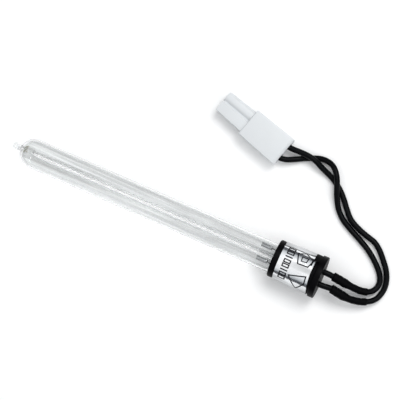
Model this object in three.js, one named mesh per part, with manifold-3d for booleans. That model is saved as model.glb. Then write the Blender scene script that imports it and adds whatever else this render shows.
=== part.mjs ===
// A cold-cathode ultraviolet lamp, the replaceable lamp of a pond or aquarium clarifier.
// A U-shaped quartz tube is held in a round black cap with a foil label and a rear flange.
// Two insulated leads leave the cap, pass a sleeved splice each, and end in a two-way connector.
//
// Millimetres, +Z up. The lamp lies along X with its cap at +X. The origin is under the middle
// of the lamp, on the surface that it lies on.

import * as THREE from 'three';
import { mergeVertices } from 'three/addons/utils/BufferGeometryUtils.js';
import Module from 'manifold-3d';

const wasm = await Module();
wasm.setup();

// ---- Driving dimensions -------------------------------------------------------------------

const LAMP_LENGTH = 115.5; // tip of the glass to the rear face of the flange
const GAP = 0.3; // clearance kept between pieces that touch

const TUBE_DIAMETER = 5.0;
const TUBE_WALL = 0.55;
const LEG_PITCH = 5.5; // between the centres of the two legs
const LEG_ROLL = 20; // degrees that the plane of the U is rolled about the lamp's axis
const GLASS_OFFSET = -0.3; // the glass is cemented a little off the cap's centre
const TIP_LENGTH = 3.05; // seal-off tip beyond the bend
const TIP_KNOB_DIAMETER = 2.7;

const CUP_DIAMETER = 1.5;
const CUP_LENGTH = 4.0;
const CUP_WALL = 0.2;
const WIRE_DIAMETER = 0.4;
const BEAD_DIAMETER = 3.4;
const BEAD_LENGTH = 2.0;

const FLANGE_DIAMETER = 14.8;
const FLANGE_THICKNESS = 2.05;
const NECK_DIAMETER = 13.6; // step between the flange and the label
const NECK_LENGTH = 1.25;
const LUG_RADIUS = 7.2; // key lug on the neck
const LUG_ARC = [17, 52]; // degrees up from +Y
const CAP_LENGTH = 17.3; // front of the collar to the rear of the flange
const COLLAR_DIAMETER = 13.2;
const COLLAR_LENGTH = 2.05;
const LABEL_FRONT_DIAMETER = 13.5;
const LABEL_REAR_DIAMETER = 14.2;
const LABEL_THICKNESS = 0.15;
const LABEL_CLEARANCE = 0.2; // between the foil and the shell under it
const SHELL_WALL = 0.6;
const POTTING_LENGTH = 3.2;

const LEAD_DIAMETER = 2.0;
const LEAD_PITCH = 4.4; // between the two lead holes of the flange
const SLEEVE_DIAMETER = 3.0;
const SLEEVE_BORE = 2.4;
const SLEEVE_LENGTH = 13.6;
const FERRULE_LENGTH = 3.6;
const FERRULE_BORE = 1.2;

const PLUG_REAR = [29.0, 34.0]; // middle of the connector's rear face, on the table
const PLUG_ANGLE = -17; // degrees, heading of the connector's rear
const PLUG_BODY = { length: 16.0, front: 10.4, rear: 11.1, height: 6.4 };
const PLUG_NOSE = { length: 11.3, front: 7.9, rear: 8.6, height: 4.8 };
const CAVITY_PITCH = 4.8; // rear mouths of the connector
const CAVITY_DIAMETER = 3.3;
const CONTACT_PITCH = 4.2; // the two lobes of the nose
const CONTACT_DIAMETER = 1.9;
const CONTACT_LENGTH = 15.5;

// ---- Derived places along the lamp, measured from its middle ---------------------------------

const REAR = LAMP_LENGTH / 2;
const TIP = -REAR;
const CAP_FRONT = REAR - CAP_LENGTH;
const FLANGE_FRONT = REAR - FLANGE_THICKNESS;
const NECK_FRONT = FLANGE_FRONT - NECK_LENGTH;
const SHELL_FRONT = CAP_FRONT + COLLAR_LENGTH + GAP;
const SHELL_REAR = NECK_FRONT - GAP;
const TUBE_RADIUS = TUBE_DIAMETER / 2;
const BORE_RADIUS = TUBE_RADIUS - TUBE_WALL;
const LEG_OFFSET = LEG_PITCH / 2;
const BEND_OUTER = TIP + TIP_LENGTH;
const BEND_CENTRE = BEND_OUTER + TUBE_RADIUS + LEG_OFFSET;
const GLASS_END = CAP_FRONT + 7.4;
const CUP_REAR = CAP_FRONT - 1.6;
const POTTING_FRONT = GLASS_END + 1.4;
const STUB_FRONT = POTTING_FRONT + 1.2; // where the lamp's own leads begin, inside the potting
const FLANGE_RADIUS = FLANGE_DIAMETER / 2;

// The lamp rests on the front rim of its flange and on the lower leg of the glass.
const rollRadians = THREE.MathUtils.degToRad(LEG_ROLL);
const legDrop = LEG_OFFSET * Math.sin(rollRadians) + TUBE_RADIUS;
const lampTilt = Math.atan((FLANGE_RADIUS - legDrop) / (FLANGE_FRONT - BEND_CENTRE));
const lampHeight = FLANGE_RADIUS * Math.cos(lampTilt) - FLANGE_FRONT * Math.sin(lampTilt);
const lampShift = (-FLANGE_RADIUS * Math.sin(lampTilt)) / 2;

// ---- Lead routes on the table, from the splice to the connector ------------------------------

// Lead A leaves the cap on the -Y side and runs round the outside of the loop.
const ROUTE_A = [
  [62.0, -1.95, 7.0], [64.3, -2.3, 6.4], [66.8, -2.65, 5.6], [69.6, -2.7, 4.7], [72.9, -2.0, 3.7],
  [75.7, -0.6, 2.7], [77.3, 1.1, 1.9], [78.1, 3.4, 1.3], [78.3, 5.9, 1.05], [77.7, 8.5, 1.05],
  [76.3, 11.2, 1.05], [74.1, 13.9, 1.05], [71.6, 16.5, 1.05], [69.1, 18.2, 1.05],
  [66.0, 19.1, 1.05], [62.3, 20.3, 1.05], [58.7, 22.1, 1.05], [56.1, 24.7, 1.05],
  [53.9, 27.3, 1.05], [51.5, 29.7, 1.05], [49.1, 31.5, 1.05], [46.7, 32.8, 1.1],
  [44.4, 33.7, 1.6], [42.4, 34.5, 2.4], [40.4, 35.4, 3.05], [38.4, 36.0, 3.35],
  [36.0, 36.3, 3.35], [33.4, 36.3, 3.25], [30.2, 36.3, 3.2], [26.4, 37.2, 3.2],
  [21.7, 38.6, 3.2],
];

// Lead B leaves the cap on the +Y side and runs round the inside of the loop.
const ROUTE_B = [
  [61.4, 2.05, 7.0], [63.5, 1.8, 6.3], [65.9, 1.5, 5.5], [68.6, 1.3, 4.5], [71.3, 1.3, 3.5],
  [73.6, 1.9, 2.6], [75.1, 3.0, 1.8], [75.9, 4.6, 1.35], [76.05, 6.3, 1.1], [75.3, 8.3, 1.05],
  [73.8, 10.3, 1.05], [71.2, 12.7, 1.05], [68.0, 15.0, 1.05], [64.2, 17.0, 1.05],
  [60.1, 18.9, 1.05], [56.3, 21.0, 1.05], [53.6, 23.5, 1.1], [52.3, 25.4, 1.6],
  [51.0, 27.9, 2.5], [50.1, 30.1, 3.2], [49.25, 32.3, 3.3], [48.0, 34.4, 3.25],
  [46.6, 35.9, 2.9], [44.9, 36.85, 2.2], [42.8, 37.2, 1.5], [40.6, 36.95, 1.1],
  [38.4, 36.1, 1.05], [35.8, 34.9, 1.2], [33.1, 33.4, 1.9], [30.4, 32.1, 2.8],
  [28.0, 31.8, 3.2], [24.6, 32.85, 3.2], [20.4, 34.25, 3.2],
];

// ---- Materials --------------------------------------------------------------------------------

function material(color, roughness, metalness = 0) {
  return new THREE.MeshStandardMaterial({ color, roughness, metalness });
}

const quartz = material(0xeef2f4, 0.05);
const nickel = material(0xb9bcc0, 0.3, 1);
const blackMoulding = material(0x0d0d0f, 0.45);
const foil = material(0xd4d8dc, 0.3, 0.8);
const pottingResin = material(0x2a2a2c, 0.6);
const leadInsulation = material(0x0b0c0e, 0.5);
const shrinkSleeve = material(0x101113, 0.6);
const tinnedCopper = material(0xc2c0b8, 0.35, 1);
const nylon = material(0xdfe2e5, 0.5);

// ---- Shaping helpers ----------------------------------------------------------------------------

// Leaves only welded positions, drops slivers and turns the faces outwards.
function weld(geometry) {
  const bare = geometry.clone();
  bare.deleteAttribute('normal');
  bare.deleteAttribute('uv');
  const welded = mergeVertices(bare, 1e-4);
  const place = welded.attributes.position;
  const corner = (i) => new THREE.Vector3().fromBufferAttribute(place, i);
  const faces = [];
  let volume = 0;
  for (let i = 0; i < welded.index.count; i += 3) {
    const [a, b, c] = [0, 1, 2].map((k) => welded.index.getX(i + k));
    if (a === b || b === c || a === c) continue;
    faces.push(a, b, c);
    volume += corner(a).dot(corner(b).cross(corner(c)));
  }
  welded.setIndex(volume < 0 ? faces.reverse() : faces);
  return welded;
}

function toSolid(geometry) {
  const welded = weld(geometry);
  const vertProperties = new Float32Array(welded.attributes.position.array);
  const triVerts = new Uint32Array(welded.index.array);
  return new wasm.Manifold(new wasm.Mesh({ numProp: 3, vertProperties, triVerts }));
}

function toGeometry(solid) {
  const mesh = solid.getMesh();
  const geometry = new THREE.BufferGeometry();
  geometry.setAttribute('position', new THREE.BufferAttribute(mesh.vertProperties, 3));
  geometry.setIndex(new THREE.BufferAttribute(mesh.triVerts, 1));
  return geometry;
}

function join(...geometries) {
  return toGeometry(geometries.map(toSolid).reduce((whole, next) => whole.add(next)));
}

function cut(geometry, ...tools) {
  return toGeometry(tools.map(toSolid).reduce((whole, next) => whole.subtract(next), toSolid(geometry)));
}

// Turns a profile of [x, radius] points about the X axis.
function turned(profile, segments = 48) {
  const points = profile.map(([x, radius]) => new THREE.Vector2(radius, x));
  return weld(new THREE.LatheGeometry(points, segments).rotateZ(-Math.PI / 2));
}

function rod(from, to, diameter, segments = 16) {
  const radius = diameter / 2;
  return turned([[from, 0], [from, radius], [to, radius], [to, 0]], segments);
}

function pipe(from, to, diameter, bore, segments = 24) {
  const [outer, inner] = [diameter / 2, bore / 2];
  return turned([[from, inner], [from, outer], [to, outer], [to, inner], [from, inner]], segments);
}

function block(from, to, y, width, z, height) {
  const box = new THREE.BoxGeometry(to - from, width, height);
  return box.translate((from + to) / 2, y, z);
}

// Turns an extrusion so that its section's x and y become Y and Z, and its depth runs along X.
function alongX(extrusion) {
  return extrusion.rotateX(Math.PI / 2).rotateZ(Math.PI / 2);
}

// A round section with its flats up and down, hollow when a bore is given.
function roundSection(diameter, sides, bore = 0) {
  const ring = (size, sign) => Array.from({ length: sides }, (_, i) => {
    const angle = (sign * (i + 0.5) * 2 * Math.PI) / sides;
    return new THREE.Vector2((size / 2) * Math.cos(angle), (size / 2) * Math.sin(angle));
  });
  const shape = new THREE.Shape(ring(diameter, 1));
  if (bore) shape.holes.push(new THREE.Path(ring(bore, -1)));
  return shape;
}

function swept(curve, section, steps) {
  return weld(new THREE.ExtrudeGeometry(section, { steps, extrudePath: curve, bevelEnabled: false }));
}

// A stretch of another curve, between two lengths measured along it.
class Stretch extends THREE.Curve {
  constructor(whole, from, to) {
    super();
    this.whole = whole;
    this.from = from / whole.getLength();
    this.to = to / whole.getLength();
  }

  getPoint(t) {
    return this.whole.getPointAt(THREE.MathUtils.lerp(this.from, this.to, t));
  }
}

// The centreline of the glass: a leg, the half-round bend and the other leg.
class GlassPath extends THREE.Curve {
  constructor(bendSteps) {
    super();
    this.leg = 1 / (bendSteps + 2);
  }

  getUtoTmapping(u) {
    return u;
  }

  getPoint(t) {
    const legs = GLASS_END - BEND_CENTRE;
    if (t < this.leg) return new THREE.Vector3(GLASS_END - (legs * t) / this.leg, LEG_OFFSET, 0);
    if (t > 1 - this.leg) return new THREE.Vector3(GLASS_END - (legs * (1 - t)) / this.leg, -LEG_OFFSET, 0);
    const angle = (Math.PI * (t - this.leg)) / (1 - 2 * this.leg);
    return new THREE.Vector3(BEND_CENTRE - LEG_OFFSET * Math.sin(angle), LEG_OFFSET * Math.cos(angle), 0);
  }
}

// ---- The lamp's pieces --------------------------------------------------------------------------

function quartzTube() {
  const bendSteps = 14;
  const section = roundSection(TUBE_DIAMETER, 20, 2 * BORE_RADIUS);
  const tube = swept(new GlassPath(bendSteps), section, bendSteps + 2);
  const knob = TIP_KNOB_DIAMETER / 2;
  const root = BEND_OUTER + 0.35;
  const tip = turned([
    [TIP, 0], [TIP + 0.15, 0.5 * knob], [TIP + 0.55, 0.9 * knob], [TIP + 1.1, knob],
    [TIP + 1.7, 0.85 * knob], [TIP + 2.3, 0.6 * knob], [TIP + 2.8, 0.65 * knob], [root, 0.9 * knob], [root, 0],
  ], 16);
  return join(tube, tip);
}

function endBead() {
  return pipe(GLASS_END - BEAD_LENGTH - GAP, GLASS_END - GAP, BEAD_DIAMETER, WIRE_DIAMETER + 2 * GAP, 20);
}

function electrodeCup() {
  const [outer, inner] = [CUP_DIAMETER / 2, CUP_DIAMETER / 2 - CUP_WALL];
  const front = CUP_REAR - CUP_LENGTH;
  return turned([
    [CUP_REAR, 0], [CUP_REAR, 0.8 * outer], [CUP_REAR - 0.15, outer], [front, outer],
    [front, inner], [CUP_REAR - 0.8, inner], [CUP_REAR - 0.8, 0],
  ], 20);
}

// From the back of the cup, through the bead, and across to the lamp's own lead in the potting.
function leadInWire(cup, leadEnd) {
  const curve = new THREE.CatmullRomCurve3([
    new THREE.Vector3(CUP_REAR + GAP, cup.y, cup.z),
    new THREE.Vector3(CUP_REAR + 0.9, 0.7 * cup.y, 0.7 * cup.z),
    new THREE.Vector3(CAP_FRONT + 1, 0, 0),
    new THREE.Vector3(GLASS_END - BEAD_LENGTH, 0, 0),
    new THREE.Vector3(GLASS_END, 0, 0),
    new THREE.Vector3(POTTING_FRONT, 0.8 * leadEnd.y, 0.8 * leadEnd.z),
    new THREE.Vector3(STUB_FRONT - GAP, leadEnd.y, leadEnd.z),
  ]);
  return swept(curve, roundSection(WIRE_DIAMETER, 8), 24);
}

function frontCollar() {
  const radius = COLLAR_DIAMETER / 2;
  const rear = CAP_FRONT + COLLAR_LENGTH;
  const ring = turned([
    [CAP_FRONT, 0], [CAP_FRONT, radius - 0.6], [CAP_FRONT + 0.25, radius - 0.2],
    [CAP_FRONT + 0.6, radius], [rear, radius], [rear, 0],
  ]);
  const reach = TUBE_RADIUS + GAP;
  const mouth = new THREE.Shape();
  mouth.absarc(LEG_OFFSET, 0, reach, -Math.PI / 2, Math.PI / 2);
  mouth.absarc(-LEG_OFFSET, 0, reach, Math.PI / 2, (3 * Math.PI) / 2);
  const opening = new THREE.ExtrudeGeometry(mouth, { depth: COLLAR_LENGTH + 2, bevelEnabled: false, curveSegments: 12 });
  alongX(opening).translate(CAP_FRONT - 1, 0, 0);
  opening.rotateX(rollRadians).translate(0, GLASS_OFFSET, 0);
  return cut(ring, opening);
}

function labelRadius(x) {
  const share = (x - CAP_FRONT - COLLAR_LENGTH) / (NECK_FRONT - CAP_FRONT - COLLAR_LENGTH);
  return THREE.MathUtils.lerp(LABEL_FRONT_DIAMETER, LABEL_REAR_DIAMETER, share) / 2;
}

function capShell() {
  const depth = LABEL_THICKNESS + LABEL_CLEARANCE;
  const outer = (x) => labelRadius(x) - depth;
  return turned([
    [SHELL_FRONT, outer(SHELL_FRONT)], [SHELL_REAR, outer(SHELL_REAR)],
    [SHELL_REAR, outer(SHELL_REAR) - SHELL_WALL], [SHELL_FRONT, outer(SHELL_FRONT) - SHELL_WALL],
    [SHELL_FRONT, outer(SHELL_FRONT)],
  ]);
}

// The foil meets itself underneath the lamp, where a narrow seam stays open.
function foilLabel() {
  const [from, to] = [SHELL_FRONT, SHELL_REAR];
  const skin = turned([
    [from, labelRadius(from)], [to, labelRadius(to)], [to, labelRadius(to) - LABEL_THICKNESS],
    [from, labelRadius(from) - LABEL_THICKNESS], [from, labelRadius(from)],
  ]);
  const seam = block(from - 1, to + 1, 0, 0.8, -LABEL_REAR_DIAMETER / 2, 3);
  return cut(skin, seam);
}

function rearFlange() {
  const spigot = labelRadius(SHELL_REAR) - LABEL_THICKNESS - LABEL_CLEARANCE - SHELL_WALL - GAP;
  const edge = 0.3;
  const disc = turned([
    [NECK_FRONT - 1.6, 0], [NECK_FRONT - 1.6, spigot], [NECK_FRONT, spigot],
    [NECK_FRONT, NECK_DIAMETER / 2], [FLANGE_FRONT, NECK_DIAMETER / 2], [FLANGE_FRONT, FLANGE_RADIUS],
    [REAR - edge, FLANGE_RADIUS], [REAR, FLANGE_RADIUS - edge], [REAR, 0],
  ]);
  const lug = new THREE.Shape();
  const [low, high] = LUG_ARC.map(THREE.MathUtils.degToRad);
  lug.absarc(0, 0, LUG_RADIUS, low, high, false);
  lug.absarc(0, 0, NECK_DIAMETER / 2 - 0.5, high, low, true);
  const key = new THREE.ExtrudeGeometry(lug, { depth: NECK_LENGTH + 0.2, bevelEnabled: false, curveSegments: 8 });
  alongX(key).translate(NECK_FRONT, 0, 0);
  const holes = [-1, 1].map((side) => {
    const hole = rod(NECK_FRONT - 3, REAR + 1, LEAD_DIAMETER + 2 * GAP);
    return hole.translate(0, (side * LEAD_PITCH) / 2, 0);
  });
  return cut(join(disc, key), ...holes);
}

function pottingBlock() {
  const radius = labelRadius(POTTING_FRONT) - LABEL_THICKNESS - LABEL_CLEARANCE - SHELL_WALL - GAP;
  const disc = rod(POTTING_FRONT, POTTING_FRONT + POTTING_LENGTH, 2 * radius, 40);
  const holes = [-1, 1].map((side) => {
    const hole = rod(POTTING_FRONT - 1, POTTING_FRONT + POTTING_LENGTH + 1, LEAD_DIAMETER + 2 * GAP);
    return hole.translate(0, (side * LEAD_PITCH) / 2, 0);
  });
  return cut(disc, ...holes);
}

// ---- The connector's pieces, along X with the rear face at 0 and the table at z = 0 ----------------

function roundedBar(from, to, y, width, z, height, corner) {
  const [w, h] = [width / 2, height / 2];
  const shape = new THREE.Shape();
  shape.absarc(w - corner, h - corner, corner, 0, Math.PI / 2);
  shape.absarc(corner - w, h - corner, corner, Math.PI / 2, Math.PI);
  shape.absarc(corner - w, corner - h, corner, Math.PI, 1.5 * Math.PI);
  shape.absarc(w - corner, corner - h, corner, 1.5 * Math.PI, 2 * Math.PI);
  const bar = new THREE.ExtrudeGeometry(shape, { depth: to - from, bevelEnabled: false, curveSegments: 5 });
  return alongX(bar).translate(from, y, z);
}

// Narrows a piece towards its front, as a moulding's draft does.
function drafted(geometry, from, to, share) {
  const place = geometry.attributes.position;
  for (let i = 0; i < place.count; i += 1) {
    const along = (place.getX(i) - from) / (to - from);
    place.setY(i, place.getY(i) * THREE.MathUtils.lerp(share, 1, along));
  }
  return geometry;
}

function connectorHousing() {
  const { length, front, rear, height } = PLUG_BODY;
  const middle = height / 2;
  const bodyFront = -length;
  const noseFront = bodyFront - PLUG_NOSE.length;
  const body = drafted(roundedBar(bodyFront, 0, 0, rear, middle, height, 0.7), bodyFront, 0, front / rear);
  const lobe = (PLUG_NOSE.rear - 0.3) / 2;
  const centre = PLUG_NOSE.rear / 2 - lobe / 2;
  const lobes = [
    roundedBar(noseFront, bodyFront + 1, -centre, lobe, middle, PLUG_NOSE.height, 0.4),
    roundedBar(noseFront, bodyFront + 1, centre, lobe, middle, PLUG_NOSE.height, 1.8),
    roundedBar(noseFront, bodyFront + 1, 0, 2.4, middle, PLUG_NOSE.height - 1.6, 0.2),
  ].map((bar) => drafted(bar, noseFront, bodyFront, PLUG_NOSE.front / PLUG_NOSE.rear));
  const catchRamp = block(bodyFront - 4.2, bodyFront - 2.2, 0, 2.4, (height - PLUG_NOSE.height) / 2 + 0.4, 1.4);
  const mouths = [-1, 1].flatMap((side) => [
    rod(-12, 1, CAVITY_DIAMETER, 20).translate(0, (side * CAVITY_PITCH) / 2, middle),
    rod(noseFront - 1, -11, CONTACT_DIAMETER + 2 * GAP, 16).translate(0, (side * CONTACT_PITCH) / 2, middle),
  ]);
  return cut(join(body, ...lobes, catchRamp), ...mouths);
}

function contact() {
  const front = -PLUG_BODY.length - PLUG_NOSE.length + 1.8;
  const rear = front + CONTACT_LENGTH;
  const outer = CONTACT_DIAMETER / 2;
  const wall = 0.25;
  const web = front + 8.5;
  return turned([
    [web - 1, 0], [web - 1, outer - wall], [front, outer - wall], [front, outer], [web, outer],
    [web + 0.5, 0.8 * outer], [web + 1.2, 0.8 * outer], [web + 1.7, outer], [rear, outer],
    [rear, outer - wall], [web + 2.4, outer - wall], [web + 2.4, 0],
  ], 16);
}

function strippedCore() {
  const contactRear = -PLUG_BODY.length - PLUG_NOSE.length + 1.8 + CONTACT_LENGTH;
  return rod(contactRear - 3.6, -8.6, 0.9, 10);
}

// ---- Assembly ---------------------------------------------------------------------------------------

const part = new THREE.Group();

function add(group, name, geometry, finish) {
  const mesh = new THREE.Mesh(geometry, finish);
  mesh.name = name;
  group.add(mesh);
  return mesh;
}

const lamp = new THREE.Group();
lamp.position.set(lampShift, 0, lampHeight);
lamp.rotation.y = -lampTilt;
part.add(lamp);

const glass = new THREE.Group();
glass.position.y = GLASS_OFFSET;
glass.rotation.x = rollRadians;
lamp.add(glass);
add(glass, 'quartz_tube', quartzTube(), quartz);

// Each cup stands where its wire holds it, off the middle of its leg.
const legs = [
  { name: 'a', side: -1, cup: { y: 0.75, z: 0.1 } },
  { name: 'b', side: 1, cup: { y: 0.35, z: 0.1 } },
];
for (const { name, side, cup } of legs) {
  const leg = new THREE.Group();
  leg.position.y = side * LEG_OFFSET;
  glass.add(leg);
  // The lamp's own lead, seen from the middle of this rolled leg.
  const across = (side * LEAD_PITCH) / 2 - GLASS_OFFSET;
  const leadEnd = {
    y: across * Math.cos(rollRadians) - side * LEG_OFFSET,
    z: -across * Math.sin(rollRadians),
  };
  add(leg, `end_bead_${name}`, endBead(), quartz);
  add(leg, `electrode_cup_${name}`, electrodeCup().translate(0, cup.y, cup.z), nickel);
  add(leg, `lead_in_wire_${name}`, leadInWire(cup, leadEnd), nickel);
}

add(lamp, 'front_collar', frontCollar(), blackMoulding);
add(lamp, 'cap_shell', capShell(), blackMoulding);
add(lamp, 'foil_label', foilLabel(), foil);
add(lamp, 'rear_flange', rearFlange(), blackMoulding);
add(lamp, 'potting_block', pottingBlock(), pottingResin);

// A point of the lamp's own frame, placed on the table's.
function lampPoint(x, y, z) {
  const point = new THREE.Vector3(x, y, z).applyAxisAngle(new THREE.Vector3(0, 1, 0), -lampTilt);
  return point.add(lamp.position);
}

// The lamp's own lead comes straight out of the flange to the splice. The connector's lead goes on
// from there. The sleeve is shrunk over the splice and the ends of both.
const leads = [
  { name: 'a', side: -1, route: ROUTE_A },
  { name: 'b', side: 1, route: ROUTE_B },
];
for (const { name, side, route } of leads) {
  const across = (side * LEAD_PITCH) / 2;
  const inside = [STUB_FRONT, FLANGE_FRONT, REAR + 1.2].map((x) => lampPoint(x, across, 0));
  const whole = new THREE.CatmullRomCurve3([...inside, ...route.map((p) => new THREE.Vector3(...p))]);
  whole.arcLengthDivisions = 2000;
  const sleeveFrom = REAR - STUB_FRONT + (side < 0 ? 4.4 : 3.4);
  const ferruleFrom = sleeveFrom + 2;
  const leadFrom = ferruleFrom + FERRULE_LENGTH + GAP;
  const solid = roundSection(LEAD_DIAMETER, 8);
  add(part, `lamp_lead_${name}`, swept(new Stretch(whole, 0, ferruleFrom - GAP), solid, 8), leadInsulation);
  add(part, `splice_ferrule_${name}`, swept(
    new Stretch(whole, ferruleFrom, ferruleFrom + FERRULE_LENGTH),
    roundSection(LEAD_DIAMETER, 12, FERRULE_BORE), 3,
  ), tinnedCopper);
  add(part, `shrink_sleeve_${name}`, swept(
    new Stretch(whole, sleeveFrom, sleeveFrom + SLEEVE_LENGTH),
    roundSection(SLEEVE_DIAMETER, 12, SLEEVE_BORE), 8,
  ), shrinkSleeve);
  add(part, `plug_lead_${name}`, swept(
    new Stretch(whole, leadFrom, whole.getLength()), solid, 48,
  ), leadInsulation);
}

const plug = new THREE.Group();
plug.position.set(PLUG_REAR[0], PLUG_REAR[1], 0);
plug.rotation.z = THREE.MathUtils.degToRad(PLUG_ANGLE);
part.add(plug);
add(plug, 'connector_housing', connectorHousing(), nylon);
for (const { name, side } of [{ name: 'a', side: 1 }, { name: 'b', side: -1 }]) {
  const cell = new THREE.Group();
  cell.position.set(0, (side * CONTACT_PITCH) / 2, PLUG_BODY.height / 2);
  plug.add(cell);
  add(cell, `contact_${name}`, contact(), tinnedCopper);
  add(cell, `stripped_core_${name}`, strippedCore(), tinnedCopper);
}

export default part;
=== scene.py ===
"""The replaceable ultraviolet lamp of a pond or aquarium clarifier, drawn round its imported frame.

A U-shaped quartz tube stands in a round black cap with a foil label. Two black leads come out of
the cap's rear flange, pass a sleeved splice each and end in a white two-way connector.

Pieces are shaped in millimetres in their own frame (lamp, glass or connector) and then placed on
the table in metres. The frame's X runs along the lamp towards its cap, and Z is up.
"""

import math

import bmesh
import bpy
from bpy.props import FloatProperty, FloatVectorProperty, PointerProperty
from mathutils import Matrix, Vector, noise


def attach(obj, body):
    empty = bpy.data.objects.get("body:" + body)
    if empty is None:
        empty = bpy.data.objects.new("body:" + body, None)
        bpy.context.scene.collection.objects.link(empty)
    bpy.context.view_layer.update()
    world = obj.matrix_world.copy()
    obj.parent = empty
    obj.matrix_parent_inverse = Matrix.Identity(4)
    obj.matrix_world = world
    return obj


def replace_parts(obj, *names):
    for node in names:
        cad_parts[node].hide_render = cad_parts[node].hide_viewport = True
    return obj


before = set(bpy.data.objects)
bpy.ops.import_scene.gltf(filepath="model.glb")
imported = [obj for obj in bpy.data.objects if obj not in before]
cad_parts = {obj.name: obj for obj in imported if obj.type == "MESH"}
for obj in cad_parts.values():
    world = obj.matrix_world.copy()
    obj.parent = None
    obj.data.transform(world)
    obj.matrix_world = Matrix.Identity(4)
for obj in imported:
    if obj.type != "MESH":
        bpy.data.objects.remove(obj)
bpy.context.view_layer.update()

bl_info = {
    "name": "Clarifier UV Lamp",
    "version": (1, 0, 0),
    "blender": (4, 5, 0),
    "location": "View3D > Sidebar > UV Lamp",
    "description": "Builds a U-shaped ultraviolet lamp with its cap, leads and connector",
    "category": "Add Mesh",
}

MM = 0.001
FULL_TURN = 2 * math.pi

# ---- Fixed sizes in millimetres; places along the lamp are measured from its middle ----

LAMP_LENGTH = 115.5
REAR = LAMP_LENGTH / 2
TIP = -REAR
CAP_FRONT = REAR - 17.3
COLLAR_REAR = CAP_FRONT + 2.05
FLANGE_FRONT = REAR - 2.05
NECK_FRONT = FLANGE_FRONT - 1.25
GLASS_END = CAP_FRONT + 7.4
CUP_REAR = CAP_FRONT - 1.6
STUB_FRONT = GLASS_END + 2.6
GLASS_OFFSET = -0.3
LEG_ROLL = math.radians(20)
LEG_OFFSET = 2.75
TIP_LENGTH = 3.05
LABEL_THICKNESS = 0.15
LEAD_PITCH = 4.4
# Each leg of the glass: its side of the lamp, and how far its cup stands off the leg's middle.
LEGS = {"a": {"side": -1, "cup": (0.75, 0.1)}, "b": {"side": 1, "cup": (0.35, 0.1)}}

CONNECTOR_REAR = Vector((29.0, 34.0, 0.0))
CONNECTOR_HEADING = math.radians(-17)
BODY_LENGTH = 16.0
NOSE_LENGTH = 11.3
NOSE_END = -BODY_LENGTH - NOSE_LENGTH
CONTACT_PITCH = 4.2
CAVITY_PITCH = 4.8

# Each lead's route over the table, from the splice near the cap to inside the connector.
ROUTE_A = [
    (62.0, -1.95, 7.0), (64.3, -2.3, 6.4), (66.8, -2.65, 5.6), (69.6, -2.7, 4.7), (72.9, -2.0, 3.7),
    (75.7, -0.6, 2.7), (77.3, 1.1, 1.9), (78.1, 3.4, 1.3), (78.3, 5.9, 1.05), (77.7, 8.5, 1.05),
    (76.3, 11.2, 1.05), (74.1, 13.9, 1.05), (71.6, 16.5, 1.05), (69.1, 18.2, 1.05),
    (66.0, 19.1, 1.05), (62.3, 20.3, 1.05), (58.7, 22.1, 1.05), (56.1, 24.7, 1.05),
    (53.9, 27.3, 1.05), (51.5, 29.7, 1.05), (49.1, 31.5, 1.05), (46.7, 32.8, 1.1),
    (44.4, 33.7, 1.6), (42.4, 34.5, 2.4), (40.4, 35.4, 3.05), (38.4, 36.0, 3.35),
    (36.0, 36.3, 3.35), (33.4, 36.3, 3.25), (30.2, 36.3, 3.2), (26.4, 37.2, 3.2),
    (21.7, 38.6, 3.2),
]
ROUTE_B = [
    (61.4, 2.05, 7.0), (63.5, 1.8, 6.3), (65.9, 1.5, 5.5), (68.6, 1.3, 4.5), (71.3, 1.3, 3.5),
    (73.6, 1.9, 2.6), (75.1, 3.0, 1.8), (75.9, 4.6, 1.35), (76.05, 6.3, 1.1), (75.3, 8.3, 1.05),
    (73.8, 10.3, 1.05), (71.2, 12.7, 1.05), (68.0, 15.0, 1.05), (64.2, 17.0, 1.05),
    (60.1, 18.9, 1.05), (56.3, 21.0, 1.05), (53.6, 23.5, 1.1), (52.3, 25.4, 1.6),
    (51.0, 27.9, 2.5), (50.1, 30.1, 3.2), (49.25, 32.3, 3.3), (48.0, 34.4, 3.25),
    (46.6, 35.9, 2.9), (44.9, 36.85, 2.2), (42.8, 37.2, 1.5), (40.6, 36.95, 1.1),
    (38.4, 36.1, 1.05), (35.8, 34.9, 1.2), (33.1, 33.4, 1.9), (30.4, 32.1, 2.8),
    (28.0, 31.8, 3.2), (24.6, 32.85, 3.2), (20.4, 34.25, 3.2),
]
# Each lead: its side of the cap, its route, and how far behind the flange its sleeve starts.
LEADS = {
    "a": {"side": -1, "route": ROUTE_A, "splice": 4.4},
    "b": {"side": 1, "route": ROUTE_B, "splice": 3.4},
}
# Inside each sleeve: how far in the ferrule starts, its length, and the gap at both its ends.
FERRULE_INSET = 2.0
FERRULE_LENGTH = 3.6
FERRULE_GAP = 0.3


# ---- Colours ----


def linear(hex_colour):
    """An sRGB hex colour such as "#e6e8ea" as linear RGB."""
    parts = [int(hex_colour[i : i + 2], 16) / 255 for i in (1, 3, 5)]
    return tuple(c / 12.92 if c <= 0.04045 else ((c + 0.055) / 1.055) ** 2.4 for c in parts)


def length(name, description, millimetres):
    return FloatProperty(
        name=name, description=description, default=millimetres * MM, min=0.0, unit="LENGTH"
    )


def colour(name, description, hex_colour):
    return FloatVectorProperty(
        name=name, description=description, default=linear(hex_colour), size=3, min=0.0, max=1.0,
        subtype="COLOR",
    )


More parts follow.
